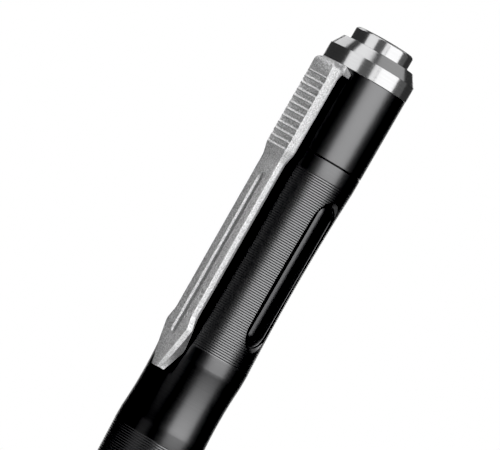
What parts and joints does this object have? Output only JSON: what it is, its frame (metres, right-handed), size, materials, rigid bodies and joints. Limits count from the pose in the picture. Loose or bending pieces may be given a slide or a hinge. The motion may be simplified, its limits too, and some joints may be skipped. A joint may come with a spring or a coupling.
{
  "type": "penlight",
  "caption": "Slim penlight with a ringed barrel, a steel push button and bezel at the tail, a metal pocket clip with a serrated thumb pad, and a lensed head that throws a beam.",
  "frame": {"origin": "centre of the head's front face, on the barrel's axis", "axes": "+Z along the barrel from the head to the tail button, the clip lies on the -Y side, +X completes the right-handed frame"},
  "size_m": [0.014, 0.0177, 0.1264],
  "materials": {
    "polished_steel": "polished",
    "blasted_clip_metal": "matte",
    "black_anodised": "satin",
    "black_inlay": "satin",
    "black_rubber": "matte",
    "dark_plastic": "matte",
    "ivory_plastic": "satin",
    "white_plastic": "satin",
    "spring_steel": "satin",
    "gilt_spring": "satin",
    "brass": "satin",
    "circuit_board": "satin",
    "white_mask_board": "satin",
    "cell_can": "satin",
    "cell_sleeve": "gloss",
    "lens_glass": "polished",
    "reflector_bright": "polished",
    "led_phosphor": "gloss",
    "lead_insulation": "satin"
  },
  "bodies": {
    "barrel": {"body_tube": "black_anodised", "grip_inlays": "black_inlay", "tail_o_ring": "black_rubber", "rear_cell_can": "cell_can", "rear_cell_sleeve": "cell_sleeve", "rear_cell_cap": "spring_steel", "front_cell_can": "cell_can", "front_cell_sleeve": "cell_sleeve", "front_cell_cap": "spring_steel", "head_shell": "black_anodised", "head_o_ring": "black_rubber", "head_bezel": "polished_steel", "lens": "lens_glass", "lens_gasket": "black_rubber", "reflector": "reflector_bright", "led_spacer": "white_plastic", "led_package": "white_plastic", "led_dome": "led_phosphor", "led_board": "white_mask_board", "led_pill": "brass", "driver_board": "circuit_board", "driver_inductor": "dark_plastic", "driver_chips": "dark_plastic", "led_leads": "lead_insulation", "driver_contact": "brass"},
    "spring": {"tail_spring": "gilt_spring"},
    "tail_cap": {"tail_cap": "black_anodised", "tail_bezel": "polished_steel", "clip_collar": "blasted_clip_metal", "switch_boot": "black_rubber", "switch_housing": "dark_plastic", "switch_base": "ivory_plastic", "switch_terminals": "brass", "switch_board": "circuit_board", "switch_retaining_ring": "brass", "switch_spring": "spring_steel"},
    "button": {"tail_button": "polished_steel", "switch_plunger": "ivory_plastic", "switch_contact": "brass"},
    "clip": {"clip_arm": "blasted_clip_metal"}
  },
  "joints": [
    {"name": "tail_cap_travel", "type": "slide", "parent": "barrel", "child": "spring", "axis": [0, 0, 1], "range_m": [0, 0.006]},
    {"name": "tail_cap_turn", "type": "hinge", "parent": "spring", "child": "tail_cap", "pos_m": [0, 0, 0.107], "axis": [0, 0, 1], "range_deg": [0, 2880]},
    {"name": "button_press", "type": "slide", "parent": "tail_cap", "child": "button", "axis": [0, 0, -1], "range_m": [0, 0.0014], "stiffness_N_per_m": 1000, "springref_m": -0.002, "deforming": ["switch_boot", "switch_spring"]},
    {"name": "clip_flex", "type": "hinge", "parent": "tail_cap", "child": "clip", "pos_m": [0, -0.00835, 0.12], "axis": [-1, 0, 0], "range_deg": [0, 3.5], "stiffness_Nm_per_rad": 8, "springref_deg": -1.15}
  ],
  "couplings": [
    {"joint": "tail_cap_travel", "follows": "tail_cap_turn", "m_per_rad": 0.00011937}
  ]
}
